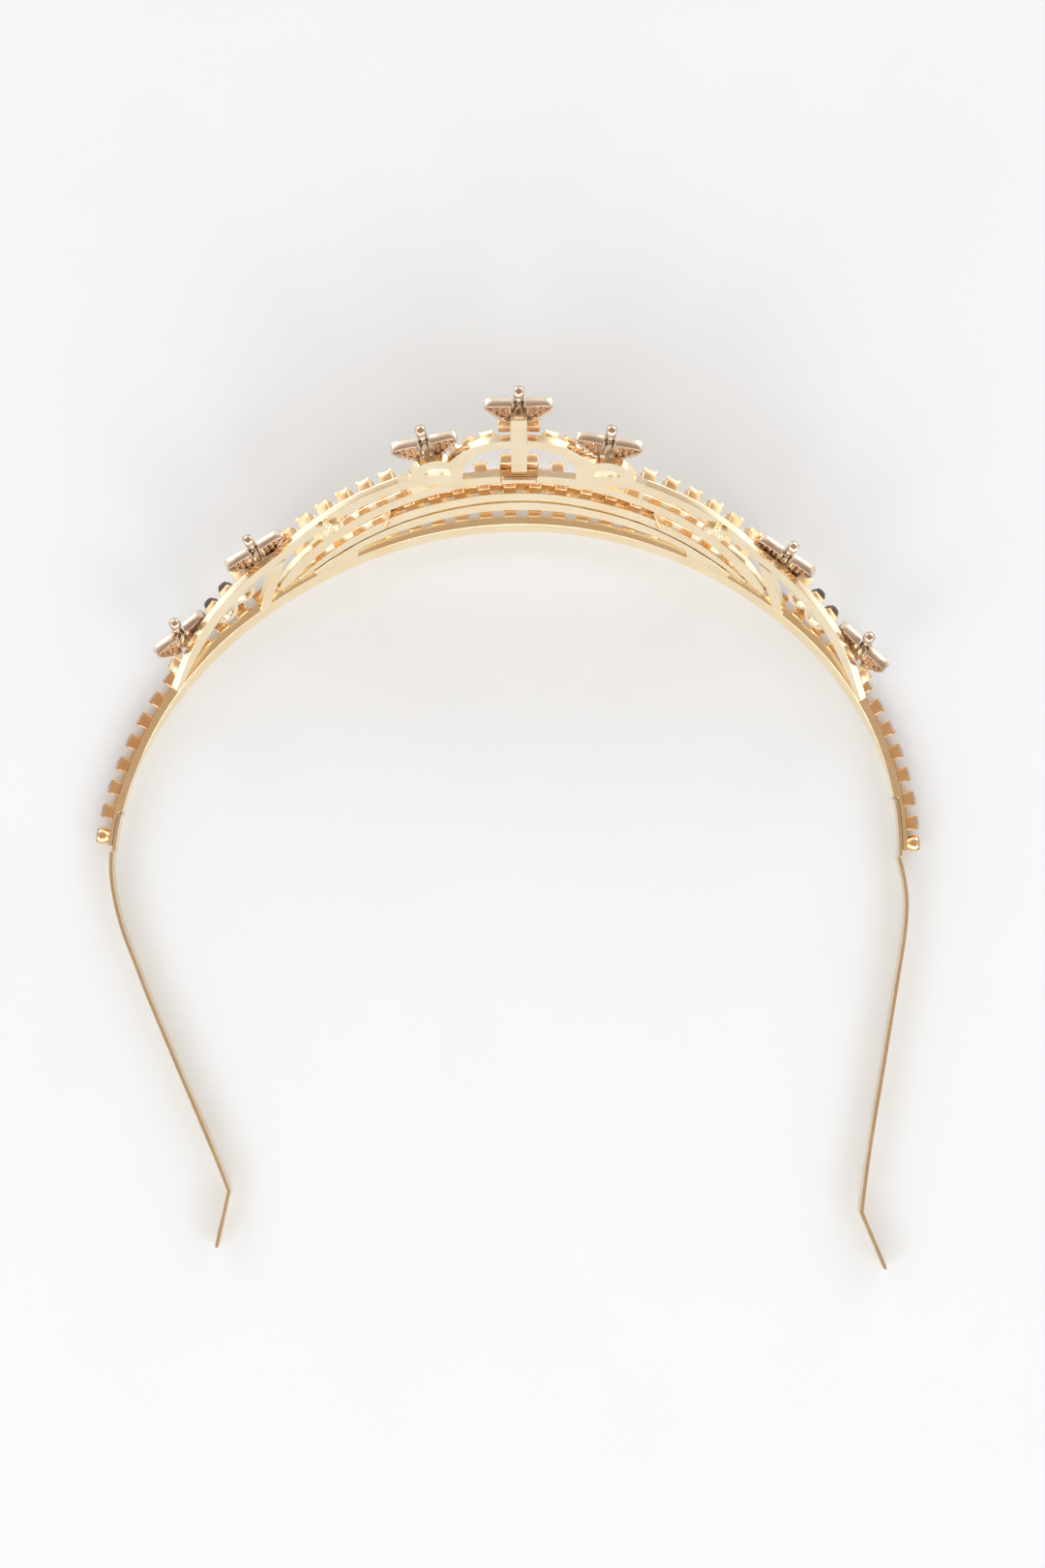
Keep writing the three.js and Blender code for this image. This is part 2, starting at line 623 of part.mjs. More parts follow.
function flatPlate(outline, thick) {
  const shape = new THREE.Shape(outline.map(([x, y]) => new THREE.Vector2(x, y)));
  return new THREE.ExtrudeGeometry(shape, { depth: thick, bevelEnabled: false, steps: 1 });
}

function wingsGeometry() {
  const left = WING.map(([x, y]) => [-x, y]).reverse();
  const solid = toSolid(flatPlate(WING, WING_THICK))
    .add(toSolid(flatPlate(SHIELD, SHIELD_THICK)))
    .add(toSolid(flatPlate(left, WING_THICK)));
  return fromSolid(solid);
}

function bodyGeometry() {
  const rings = BODY.map(([r, y]) => Array.from({ length: BODY_SIDES }, (_, k) => {
    const a = (k / BODY_SIDES) * Math.PI * 2;
    return new THREE.Vector3(r * Math.cos(a), y, BODY_CENTRE + r * Math.sin(a));
  }));
  return sweep(rings);
}

function motifMatrix({ s, v, turn, back = SHEET_THICK + 0.08 }) {
  const { heading } = bandAt(s);
  const lean = leanAt(s);
  const along = new THREE.Vector3(Math.cos(heading), Math.sin(heading), 0);
  const level = new THREE.Vector3(-Math.sin(heading), Math.cos(heading), 0);
  const up = level.clone().multiplyScalar(Math.sin(lean)).setZ(Math.cos(lean));
  const outward = level.clone().multiplyScalar(Math.cos(lean)).setZ(-Math.sin(lean));
  const place = new THREE.Matrix4().makeBasis(along, up, outward);
  place.setPosition(warp(s, v, 0).addScaledVector(outward, back));
  return place.multiply(new THREE.Matrix4().makeRotationZ(rad(turn)));
}

for (const motif of MOTIFS) {
  const place = motifMatrix(motif);
  add(`${motif.name}_wings`, facingOut(wingsGeometry().applyMatrix4(place)), motifGold);
  add(`${motif.name}_body`, facingOut(bodyGeometry().applyMatrix4(place)), motifGold);
}

// ---------- spring legs ----------
const LEG_PATH = {
  left: [
    [-72.6, -12.2], [-72.7, -15.6], [-72.0, -20.6], [-70.5, -26.2], [-68.5, -31.4], [-66.2, -37.4],
    [-63.2, -44.6], [-60.0, -52.2], [-56.6, -60.2], [-53.6, -67.4], [-51.9, -71.9],
  ],
  right: [
    [66.6, -13.2], [67.4, -16.4], [67.9, -20.4], [67.6, -26.0], [66.4, -33.8], [65.0, -42.5],
    [63.6, -51.0], [62.2, -59.2], [61.0, -67.0], [59.9, -75.6],
  ],
};
const LEG_TIP = { left: [-54.1, -82.0], right: [64.2, -85.8] };

function stripRing(x, y, dx, dy, half) {
  const length = Math.hypot(dx, dy);
  const nx = (-dy / length) * half;
  const ny = (dx / length) * half;
  return [
    new THREE.Vector3(x + nx, y + ny, 0),
    new THREE.Vector3(x - nx, y - ny, 0),
    new THREE.Vector3(x - nx, y - ny, LEG_HEIGHT),
    new THREE.Vector3(x + nx, y + ny, LEG_HEIGHT),
  ];
}

// The root is rounded about the line where the strip flexes, so it can swing past the lap.
function legGeometry(path, tip) {
  const curve = new THREE.CatmullRomCurve3(path.map(([x, y]) => new THREE.Vector3(x, y, 0)));
  const half = LEG_THICK / 2;
  const start = curve.getTangent(0);
  const root = path[0];
  const rings = [[-0.95, 0.3], [-0.7, 0.72], [0, 1]].map(([back, wide]) => {
    return stripRing(root[0] + start.x * back * half, root[1] + start.y * back * half,
      start.x, start.y, half * wide);
  });
  const steps = 30;
  for (let i = 1; i < steps; i += 1) {
    const p = curve.getPointAt(i / steps);
    const d = curve.getTangentAt(i / steps);
    rings.push(stripRing(p.x, p.y, d.x, d.y, half));
  }
  const bend = path.at(-1);
  const before = curve.getTangent(1).normalize();
  const after = new THREE.Vector3(tip[0] - bend[0], tip[1] - bend[1], 0).normalize();
  const mitre = before.clone().add(after);
  rings.push(stripRing(bend[0], bend[1], mitre.x, mitre.y, half * 1.05));
  rings.push(stripRing(tip[0] - after.x * 0.5, tip[1] - after.y * 0.5, after.x, after.y, half));
  rings.push(stripRing(tip[0], tip[1], after.x, after.y, half * 0.45));
  return sweep(rings);
}

for (const [side, label] of [[-1, 'left'], [1, 'right']]) {
  const inside = BAND_END[label] - side * (LAP[label] - 0.3);
  const end = BAND_END[label] + side * TAB_TAIL[label];
  const tab = Array.from({ length: 6 }, (_, i) => {
    const s = THREE.MathUtils.lerp(inside, end, i / 5);
    return [[s, 0], [s, LEG_HEIGHT], 0, LAP_THICK];
  });
  add(`leg_root_${label}`, ribbon(tab), stripGold);
  add(`spring_leg_${label}`, legGeometry(LEG_PATH[label], LEG_TIP[label]), stripGold);
}

// ---------- assembly: origin at the middle of the footprint, on the resting plane ----------
const group = new THREE.Group();
group.name = 'bridal_tiara';
const box = new THREE.Box3();
for (const mesh of parts) {
  mesh.geometry.computeBoundingBox();
  box.union(mesh.geometry.boundingBox);
}
const middle = box.getCenter(new THREE.Vector3());
for (const mesh of parts) {
  mesh.geometry.translate(-middle.x, -middle.y, -box.min.z);
  mesh.geometry.computeVertexNormals();
  group.add(mesh);
}

export default group;
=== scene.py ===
# The looks of the bridal tiara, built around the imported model: polished rose gold sheet with softened
# edges, claw cups with faceted stones, winged motifs with pierced backs, and a plain pale studio.
import math

import bmesh
import bpy
import numpy as np
from mathutils import Matrix, Vector
from mathutils.bvhtree import BVHTree


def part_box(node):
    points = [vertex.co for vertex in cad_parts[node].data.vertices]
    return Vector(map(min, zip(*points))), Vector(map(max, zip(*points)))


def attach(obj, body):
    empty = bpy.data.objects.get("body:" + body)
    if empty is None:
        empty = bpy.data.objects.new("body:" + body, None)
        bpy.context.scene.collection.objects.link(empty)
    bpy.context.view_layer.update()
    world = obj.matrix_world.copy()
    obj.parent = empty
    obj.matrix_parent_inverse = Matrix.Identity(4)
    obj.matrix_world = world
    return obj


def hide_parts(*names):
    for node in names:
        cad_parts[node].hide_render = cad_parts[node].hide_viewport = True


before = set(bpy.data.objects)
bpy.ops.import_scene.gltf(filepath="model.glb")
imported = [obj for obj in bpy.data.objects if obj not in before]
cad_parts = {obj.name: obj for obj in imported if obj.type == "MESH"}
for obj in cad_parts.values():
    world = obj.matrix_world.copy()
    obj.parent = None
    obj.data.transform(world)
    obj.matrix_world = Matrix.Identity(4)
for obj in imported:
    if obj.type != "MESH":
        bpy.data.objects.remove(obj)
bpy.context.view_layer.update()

MM = 0.001
FRAME_BODY = "tiara_frame"
UP = Vector((0, 0, 1))
SIDES = ("left", "right")

# ---------- camera: straight down, as far above the resting surface as the photographer's ----------
CAMERA_HEIGHT = 460 * MM
VIEW_HEIGHT = 278.6 * MM          # of the resting surface, seen from edge to edge of the picture
CAMERA_AT = (2.58 * MM, 10.61 * MM)
SENSOR_HEIGHT = 24.0

# ---------- cup and stone sizes, millimetres ----------
CUP_DEPTH = 2.35
ARCH_CUP_DEPTH = 1.6
PROFILE_DEPTH = 1.9               # the depth that the cup wall, claws and stone are drawn for
STACK_FROM = 3.5                  # a CAD cup taller than this is two cups, one above the other
STACK_GAP = 0.05
LINK_HALF = 0.45
TALL_LINK = 1.45
LINK_DEPTH = 0.5
TALL_LINK_DEPTH = 1.7
TALL_LINK_FROM = 2.6              # cups this tall have links as tall as themselves
LINK_TUCK = 0.2                   # how far a link runs into each cup
LINK_BACK = 0.1

# ---------- reading and softening the CAD ----------
WELD = 0.002 * MM
PLATE_FLAT = 0.8                  # degrees: facets this close to level are one face
CUP_FLAT = 4                      # the same for a cup, whose faces are slightly warped
CUP_FRONT_AREA = 3.2              # square millimetres: a cup's front is the only face so large ...
CUP_FRONT_FACING = 0.6            # ... that faces away from the head
HARD_EDGE = 32                    # degrees: edges sharper than this are rounded
SOLDER_REACH = 0.08 * MM


# ---------- materials ----------
def node(tree, kind, **values):
    made = tree.nodes.new(kind)
    for key, value in values.items():
        if key in made.inputs:
            made.inputs[key].default_value = value
        else:
            setattr(made, key, value)
    return made


def noise(tree, place, scale, detail=3.0, squeeze=(1, 1, 1)):
    mapping = node(tree, "ShaderNodeMapping", Scale=squeeze)
    tree.links.new(place, mapping.inputs["Vector"])
    made = node(tree, "ShaderNodeTexNoise", Scale=scale, Detail=detail)
    tree.links.new(mapping.outputs["Vector"], made.inputs["Vector"])
    return made.outputs["Fac"]


def spread(tree, factor, low, high, start=0.3, end=0.7):
    made = node(tree, "ShaderNodeMapRange")
    for key, value in (("From Min", start), ("From Max", end), ("To Min", low), ("To Max", high)):
        made.inputs[key].default_value = value
    tree.links.new(factor, made.inputs["Value"])
    return made.outputs["Result"]


def blended(tree, factor, low, high):
    ramp = node(tree, "ShaderNodeValToRGB")
    ramp.color_ramp.elements[0].position = 0.32
    ramp.color_ramp.elements[0].color = (*low, 1)
    ramp.color_ramp.elements[1].position = 0.68
    ramp.color_ramp.elements[1].color = (*high, 1)
    tree.links.new(factor, ramp.inputs["Fac"])
    return ramp.outputs["Color"]


DENT_DEPTH = 0.00006


# Plated metal: slow colour drift of the plating, cloudy polish, fine drawn streaks and tiny dents.
def plated(name, pale, deep, smooth, dull, dents=0.12, streak=(1, 1, 7)):
    material = bpy.data.materials.new(name)
    material.use_nodes = True
    tree = material.node_tree
    shader = tree.nodes["Principled BSDF"]
    shader.inputs["Metallic"].default_value = 1.0
    place = node(tree, "ShaderNodeTexCoord").outputs["Object"]
    drift = noise(tree, place, 210.0)
    tree.links.new(blended(tree, drift, deep, pale), shader.inputs["Base Color"])
    clouds = noise(tree, place, 900.0, detail=5.0, squeeze=streak)
    tree.links.new(spread(tree, clouds, smooth, dull), shader.inputs["Roughness"])
    grain = noise(tree, place, 2300.0, detail=4.0, squeeze=streak)
    bump = node(tree, "ShaderNodeBump", Strength=dents, Distance=DENT_DEPTH)
    tree.links.new(grain, bump.inputs["Height"])
    tree.links.new(bump.outputs["Normal"], shader.inputs["Normal"])
    return material


def stone(name, pale, deep, film):
    material = bpy.data.materials.new(name)
    material.use_nodes = True
    tree = material.node_tree
    shader = tree.nodes["Principled BSDF"]
    place = node(tree, "ShaderNodeTexCoord").outputs["Object"]
    tree.links.new(blended(tree, noise(tree, place, 420.0, detail=1.0), deep, pale),
                   shader.inputs["Base Color"])
    tree.links.new(spread(tree, noise(tree, place, 700.0), 0.01, 0.05), shader.inputs["Roughness"])
    shader.inputs["Transmission Weight"].default_value = 0.8
    shader.inputs["IOR"].default_value = 1.62
    shader.inputs["Thin Film Thickness"].default_value = film
    return material


SHEET_GOLD = plated("polished sheet gold", (1.0, 0.885, 0.66), (0.98, 0.81, 0.54), 0.08, 0.18)
# The cups' gold is deeper and more orange than the sheet's. This is partly the metal's own tone and
# partly painted shade and painted gold bounce light for the cups set down between the rails.
CUP_GOLD_WITH_PAINTED_SHADE = plated("cup gold with painted shade", (0.98, 0.72, 0.43), (0.90, 0.56, 0.29), 0.12, 0.24,
                  streak=(1, 1, 1))
MOTIF_GOLD = plated("cast motif gold", (0.72, 0.58, 0.45), (0.54, 0.41, 0.30), 0.14, 0.28,
                    dents=0.25, streak=(1, 1, 1))
DARK_GOLD = plated("shadowed motif back", (0.80, 0.52, 0.32), (0.55, 0.32, 0.18), 0.2, 0.4,
                   dents=0.3, streak=(1, 1, 1))
STRIP_GOLD = plated("spring strip gold", (0.93, 0.80, 0.60), (0.84, 0.69, 0.49), 0.14, 0.28)
CLEAR_STONE = stone("clear crystal", (0.97, 0.98, 1.0), (0.84, 0.88, 0.93), 330.0)
SMOKE_STONE = stone("smoky crystal", (0.20, 0.12, 0.08), (0.08, 0.045, 0.03), 0.0)


# ---------- mesh building ----------
class Shape:
    """Vertices in millimetres and faces, gathered into one object."""

    def __init__(self):
        self.points = []
        self.faces = []

    def loft(self, rings, ends=True):
        n = len(rings[0])
        start = len(self.points)
        for ring in rings:
            self.points.extend(ring)
        for r in range(len(rings) - 1):
            for k in range(n):
                a, b = start + r * n + k, start + r * n + (k + 1) % n
                self.faces.append((a, b, b + n, a + n))
        if ends:
            last = start + (len(rings) - 1) * n
            self.faces.append(tuple(range(start, start + n))[::-1])
            self.faces.append(tuple(range(last, last + n)))

    def hoop(self, rings):
        """A closed loop of rings, such as a small ring of wire."""
        n = len(rings[0])
        start = len(self.points)
        for ring in rings:
            self.points.extend(ring)
        for r in range(len(rings)):
            for k in range(n):
                here, there = start + r * n, start + (r + 1) % len(rings) * n
                after = (k + 1) % n
                self.faces.append((here + k, here + after, there + after, there + k))

    def build(self, name, material, body=FRAME_BODY, flat=False, sharp=38):
        mesh = bpy.data.meshes.new(name)
        mesh.from_pydata([Vector(p) * MM for p in self.points], [], self.faces)
        return finished(name, mesh, material, body, flat, sharp)


def finished(name, mesh, material, body=FRAME_BODY, flat=False, sharp=38):
    bm = bmesh.new()
    bm.from_mesh(mesh)
    bmesh.ops.recalc_face_normals(bm, faces=bm.faces)
    for face in bm.faces:
        face.smooth = not flat
    for edge in bm.edges:
        edge.smooth = edge.calc_face_angle(0.0) < math.radians(sharp)
    bm.to_mesh(mesh)
    bm.free()
    mesh.materials.clear()
    mesh.materials.append(material)
    piece = bpy.data.objects.new(name, mesh)
    bpy.context.scene.collection.objects.link(piece)
    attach(piece, body)
    return piece


def welded(name, flat=PLATE_FLAT):
    """The CAD piece with its facets joined into whole faces."""
    bm = bmesh.new()
    bm.from_mesh(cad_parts[name].data)
    bmesh.ops.remove_doubles(bm, verts=bm.verts, dist=WELD)
    bmesh.ops.dissolve_limit(bm, angle_limit=math.radians(flat), verts=bm.verts, edges=bm.edges)
    return bm


def surface_of(name):
    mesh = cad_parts[name].data
    return BVHTree.FromPolygons([v.co for v in mesh.vertices],
                                [tuple(f.vertices) for f in mesh.polygons])


# The CAD piece itself with its hard edges rounded, as polishing leaves them. Edges that are
# soldered flush to the joined piece stay sharp.
def polished(name, material, edge=0.1, body=FRAME_BODY, soften=0, joined=None):
    bm = welded(name)
    hard = [e for e in bm.edges if e.calc_face_angle(0.0) > math.radians(HARD_EDGE)]
    if joined:
        other = surface_of(joined)
        hard = [e for e in hard
                if max(other.find_nearest(v.co)[3] for v in e.verts) > SOLDER_REACH]
    bmesh.ops.bevel(bm, geom=hard, offset=edge * MM, segments=2, profile=0.6,
                    affect="EDGES", clamp_overlap=True)
    mesh = bpy.data.meshes.new(name + "_polished")
    bm.to_mesh(mesh)
    bm.free()
    piece = finished(name + "_polished", mesh, material, body, sharp=55)
    if soften:
        piece.modifiers.new("soften", "SUBSURF").render_levels = soften
    even = piece.modifiers.new("even shading", "WEIGHTED_NORMAL")
    even.keep_sharp = True
    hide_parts(name)
    return piece


# ---------- reading places off the CAD ----------
def corners(name):
    """The node's separate corners, in millimetres."""
    rows = {tuple(round(c / MM, 3) for c in v.co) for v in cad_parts[name].data.vertices}
    return np.array(sorted(rows))


# The wearer's head is round this point, which the camera hangs over from side to side.
HEAD_MIDDLE = Vector((CAMERA_AT[0] / MM, 0, 0))


def outward_from_head(point):
    return Vector((point.x - HEAD_MIDDLE.x, point.y - HEAD_MIDDLE.y, 0)).normalized()


def side_direction(face, depth):
    """The way a cup's four side edges run out to its front face."""
    total = Vector((0, 0, 0))
    for vert in face.verts:
        spans = [vert.co - edge.other_vert(vert).co for edge in vert.link_edges
                 if face not in edge.link_faces]
        total += min(spans, key=lambda span: abs(span.length / MM - depth))
    return total.normalized()


# Each cup of a CAD row: the middle of its back, its axes along the rail, up and outward, and its size.
def cups_of(name, depth=CUP_DEPTH):
    bm = welded(name, CUP_FLAT)
    found = []
    for face in bm.faces:
        middle = face.calc_center_median() / MM
        if face.calc_area() / MM ** 2 < CUP_FRONT_AREA or len(face.verts) != 4:
            continue
        if face.normal.dot(outward_from_head(middle)) < CUP_FRONT_FACING:
            continue
        points = [v.co / MM for v in face.verts]
        edges = [points[(i + 1) % 4] - points[i] for i in range(4)]
        first, second = (edges[0] - edges[2]) / 2, (edges[1] - edges[3]) / 2
        first_is_up = abs(first.z) / first.length > abs(second.z) / second.length
        up, along = (first, second) if first_is_up else (second, first)
        up = up if up.z > 0 else -up
        outward = side_direction(face, depth)
        along = along if along.cross(outward).dot(UP) < 0 else -along
        found.append({
            "back": middle - outward * depth, "along": along.normalized(), "up": up.normalized(),
            "out": outward, "wide": along.length, "tall": up.length, "depth": depth,
        })
    bm.free()
    found.sort(key=lambda cup: math.atan2(cup["back"].x - HEAD_MIDDLE.x, cup["back"].y + 200))
    return found


def at(cup, a, u, d):
    return cup["back"] + cup["along"] * a + cup["up"] * u + cup["out"] * d


# ---------- stone cups ----------
# Rings of the cup wall: [share of half size, depth, corner radius], outside first, then down inside.
CUP_WALL = [
    (0.88, 0.00, 0.16), (0.97, 0.07, 0.20), (0.99, 0.70, 0.20), (1.00, 1.42, 0.20), (0.98, 1.50, 0.19),
    (0.90, 1.48, 0.17), (0.88, 1.20, 0.17), (0.45, 0.78, 0.12),
]
CLAW = [(0.86, 1.05, 0.15), (0.90, 1.45, 0.17), (0.82, 1.74, 0.15), (0.66, 1.84, 0.09)]
STONE_RINGS = [
    (0.15, 0.80, 0.5), (0.86, 1.36, 0.36), (0.86, 1.42, 0.36), (0.70, 1.68, 0.3), (0.46, 1.86, 0.2),
]
# A smoky stone is a tall dome in a cup half as deep, so most of it stands out of the metal.
SMOKY_WALL = 0.5
SMOKY_RINGS = [
    (0.40, 0.42, 0.4), (0.86, 0.66, 0.36), (0.96, 0.95, 0.4), (0.92, 1.35, 0.45), (0.74, 1.66, 0.5),
    (0.42, 1.86, 0.5),
]


def rounded_square(cup, half_a, half_u, d, corner, steps=4):
    ring = []
    for quarter in range(4):
        turn = quarter * math.pi / 2
        ca = math.copysign(half_a - corner, math.cos(turn + math.pi / 4))
        cu = math.copysign(half_u - corner, math.sin(turn + math.pi / 4))
        for k in range(steps):
            angle = turn + (k / (steps - 1)) * math.pi / 2
            ring.append(at(cup, ca + corner * math.cos(angle), cu + corner * math.sin(angle), d))
    return ring


def cut_square(cup, half_a, half_u, d, cut):
    """Eight corners of a square with its corners cut off."""
    ring = []
    for quarter in range(4):
        turn = quarter * math.pi / 2 + math.pi / 4
        sa, su = math.copysign(1, math.cos(turn)), math.copysign(1, math.sin(turn))
        pair = [(sa * half_a, su * (half_u - cut)), (sa * (half_a - cut), su * half_u)]
        ring.extend(at(cup, a, u, d) for a, u in (pair if quarter % 2 == 0 else pair[::-1]))
    return ring


def add_claws(metal, cup, half_a, half_u, deep):
    for sa in (-1, 1):
        for su in (-1, 1):
            metal.loft([[at(cup, sa * share * half_a + r * math.cos(k * math.pi / 3),
                            su * share * half_u + r * math.sin(k * math.pi / 3), d * deep)
                         for k in range(6)] for share, d, r in CLAW])


def add_cup(metal, stones, cup, smoky=False):
    half_a, half_u, deep = cup["wide"] / 2, cup["tall"] / 2, cup["depth"] / PROFILE_DEPTH
    wall = SMOKY_WALL if smoky else 1.0
    metal.loft([rounded_square(cup, share * half_a, share * half_u, d * deep * wall, corner)
                for share, d, corner in CUP_WALL])
    if not smoky:
        add_claws(metal, cup, half_a, half_u, deep)
    stones.loft([cut_square(cup, share * half_a, share * half_u, d * deep, cut * share * half_a)
                 for share, d, cut in (SMOKY_RINGS if smoky else STONE_RINGS)])


def add_link(metal, before, after, tall):
    """The strip between two cups of a row; between tall cups it is a wall."""
    top, front = (TALL_LINK, TALL_LINK_DEPTH) if tall else (LINK_HALF, LINK_DEPTH)
    section = ((-LINK_HALF, LINK_BACK), (top, LINK_BACK), (top, front), (-LINK_HALF, front))
    rings = []
    for cup, side in ((before, 1), (after, -1)):
        reach = cup["wide"] / 2 - LINK_TUCK
        rings.append([at(cup, side * reach, u, d) for u, d in section])
    metal.loft(rings)


def stacked(cup):
    """A tall CAD cup is two cups, one above the other."""
    if cup["tall"] < STACK_FROM:
        return [cup]
    lower, upper = dict(cup), dict(cup)
    for part, shift in ((lower, -1), (upper, 1)):
        part["tall"] = cup["tall"] / 2 - STACK_GAP
        part["back"] = cup["back"] + cup["up"] * shift * cup["tall"] / 4
    return [lower, upper]


def cup_row(name, depth=CUP_DEPTH, smoky=()):
    metal, clear, dark = Shape(), Shape(), Shape()
    cups = cups_of(name, depth)
    for i, cup in enumerate(cups):
        for single in stacked(cup):
            add_cup(metal, dark if i in smoky else clear, single, i in smoky)
        if i:
            tall = min(cup["tall"], cups[i - 1]["tall"]) > TALL_LINK_FROM and name == "cup_row_c"
            add_link(metal, cups[i - 1], cup, tall)
    settings = metal.build(name + "_settings", CUP_GOLD_WITH_PAINTED_SHADE)
    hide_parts(name)
    for shape, label, material in ((clear, "_stones", CLEAR_STONE),
                                   (dark, "_smoky_stones", SMOKE_STONE)):
        if shape.points:
            shape.build(name + label, material, flat=True)
    return cups


# The two stones nearest the end of each outer top row are smoky.
SMOKY_CUPS = {"left": (0, 1), "right": (1, 2)}
base_cups = {}
for side in SIDES:
    base_cups[side] = cup_row("cup_row_base_" + side)
    cup_row("cup_row_a_" + side)
    cup_row("cup_row_a_outer_" + side, smoky=SMOKY_CUPS[side])
    cup_row("cup_row_b_" + side)
    cup_row("cup_row_arch_" + side, ARCH_CUP_DEPTH)
    cup_row("cup_end_rail_" + side)
for name in ("cup_row_b_centre", "cup_row_c", "cup_pair_crest"):
    cup_row(name)


# ---------- round settings at the ends of the band ----------
# [radius, depth] up the outside and down the inside; a claw adds its own radius.
COLLET = [
    (0.95, 0.0), (1.22, 0.3), (1.42, 0.85), (1.45, 1.70), (1.40, 1.80), (1.27, 1.80), (1.2, 1.3),
    (0.55, 0.7),
]
ROUND_CLAW = [(1.30, 1.3, 0.16), (1.32, 1.75, 0.19), (1.18, 2.12, 0.16), (0.98, 2.24, 0.09)]
ROUND_STONE = [(0.1, 0.75), (1.17, 1.62), (1.17, 1.72), (0.95, 2.05), (0.62, 2.28)]
SETTING_BACK = 1.15               # from the middle of the CAD setting to the collet's back


def disc(cup, radius, depth, count, turn=0.0):
    return [at(cup, radius * math.cos(turn + k * math.tau / count),
               radius * math.sin(turn + k * math.tau / count), depth) for k in range(count)]


def end_setting(side):
    name = "end_setting_" + side
    chain = base_cups[side]
    last, before = (chain[0], chain[1]) if side == "left" else (chain[-1], chain[-2])
    swing = before["out"].rotation_difference(last["out"])
    outward = (swing @ last["out"]).normalized()
    low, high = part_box(name)
    middle = (low + high) / 2 / MM
    place = {
        "back": middle - outward * SETTING_BACK, "along": outward.cross(UP).normalized(),
        "up": UP, "out": outward,
    }
    metal, gem = Shape(), Shape()
    metal.loft([disc(place, r, d, 28) for r, d in COLLET])
    for k in range(6):
        turn = (k + 0.5) * math.tau / 6
        ca, su = math.cos(turn), math.sin(turn)
        metal.loft([[at(place, share * ca + r * math.cos(j * math.pi / 3),
                        share * su + r * math.sin(j * math.pi / 3), d) for j in range(6)]
                    for share, d, r in ROUND_CLAW])
    gem.loft([disc(place, r, d, 12, (i % 2) * math.pi / 12)
              for i, (r, d) in enumerate(ROUND_STONE)])
    setting = metal.build(name + "_claws", CUP_GOLD_WITH_PAINTED_SHADE)
    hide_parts(name)
    crystal = gem.build("end_crystal_" + side + "_faceted", CLEAR_STONE, flat=True)
    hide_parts("end_crystal_" + side)


for side in SIDES:
    end_setting(side)

# ---------- sheet pieces ----------
for name in ("base_band", "rail_c", "rail_d", "crest_panel", "centre_post"):
    polished(name, SHEET_GOLD)
for side in SIDES:
    for name in ("rail_a_", "rail_b_"):
        polished(name + side, SHEET_GOLD, joined="crest_panel")
    polished("fan_rib_" + side, SHEET_GOLD)
    polished("scroll_" + side, SHEET_GOLD, edge=0.22, soften=2)
    polished("leg_root_" + side, STRIP_GOLD, edge=0.07)
    polished("spring_leg_" + side, STRIP_GOLD, edge=0.12, body=side + "_leg")


# ---------- frames of the small plates on the inner face ----------
def face_frame(name):
    """Middle of the plate's inner side, its axes along, up and out of that side, and its half sizes."""
    points = corners(name)
    middle = Vector(points.mean(0))
    _, axes = np.linalg.eigh(np.cov((points - points.mean(0)).T))
    normal = Vector(axes[:, 0])
    normal = normal if normal.dot(outward_from_head(middle)) < 0 else -normal
    along = UP.cross(normal).normalized()
    up = normal.cross(along)
    spans = [(points - points.mean(0)) @ np.array(axis) for axis in (along, up, normal)]
    return {"back": middle, "along": along, "up": up, "out": normal}, [np.ptp(s) / 2 for s in spans]


def tube_ring(place, a, u, d, da, du, radius, count=8):
    """A circle of wire across the direction (da, du) at the point (a, u, d)."""
    size = math.hypot(da, du)
    across = (-du / size, da / size)
    return [at(place, a + across[0] * radius * math.cos(k * math.tau / count),
               u + across[1] * radius * math.cos(k * math.tau / count),
               d + radius * math.sin(k * math.tau / count)) for k in range(count)]


def add_hoop(shape, place, a, u, d, major, minor, count=14):
    rings = []
    for k in range(count):
        angle = k * math.tau / count
        ca, su = math.cos(angle), math.sin(angle)
        rings.append(tube_ring(place, a + major * ca, u + major * su, d, -su, ca, minor))
    shape.hoop(rings)


def add_bead(shape, place, a, u, d, radius, count=10):
    rings = []
    for k in range(1, 6):
        angle = k * math.pi / 6
        r, lift = radius * math.sin(angle), -radius * math.cos(angle)
        rings.append([at(place, a + r * math.cos(j * math.tau / count),
                         u + r * math.sin(j * math.tau / count), d + lift) for j in range(count)])
    shape.loft(rings)


# ---------- name plate, left blank ----------
BORDER_INSET = 0.42
BORDER_CORNER = 0.25
BORDER_WIRE = 0.10
BORDER_SINK = 0.02


def plate_outline(half_a, half_u):
    """A rounded rectangle just inside the plate's edge, five points to a corner."""
    outline = []
    for quarter in range(4):
        middle = quarter * math.pi / 2 + math.pi / 4
        corner_a = math.copysign(half_a - BORDER_INSET, math.cos(middle))
        corner_u = math.copysign(half_u - BORDER_INSET, math.sin(middle))
        for k in range(5):
            angle = quarter * math.pi / 2 + k * math.pi / 8
            outline.append((corner_a + BORDER_CORNER * math.cos(angle),
                            corner_u + BORDER_CORNER * math.sin(angle)))
    return outline


polished("name_plate", SHEET_GOLD, edge=0.06)
place, (half_a, half_u, half_d) = face_frame("name_plate")
border = Shape()
outline = plate_outline(half_a, half_u)
wire_rings = []
for i, (a, u) in enumerate(outline):
    ahead, behind = outline[(i + 1) % len(outline)], outline[i - 1]
    wire_rings.append(tube_ring(place, a, u, half_d - BORDER_SINK, ahead[0] - behind[0],
                                ahead[1] - behind[1], BORDER_WIRE, 6))
border.hoop(wire_rings)
border.build("name_plate_border", DARK_GOLD)

# ---------- leaf clusters: three ringed leaves round a bead, each with a bead at its tip ----------
LEAF_REACH = (1.05, 1.15)
LEAF_TIP = (1.75, 1.85)

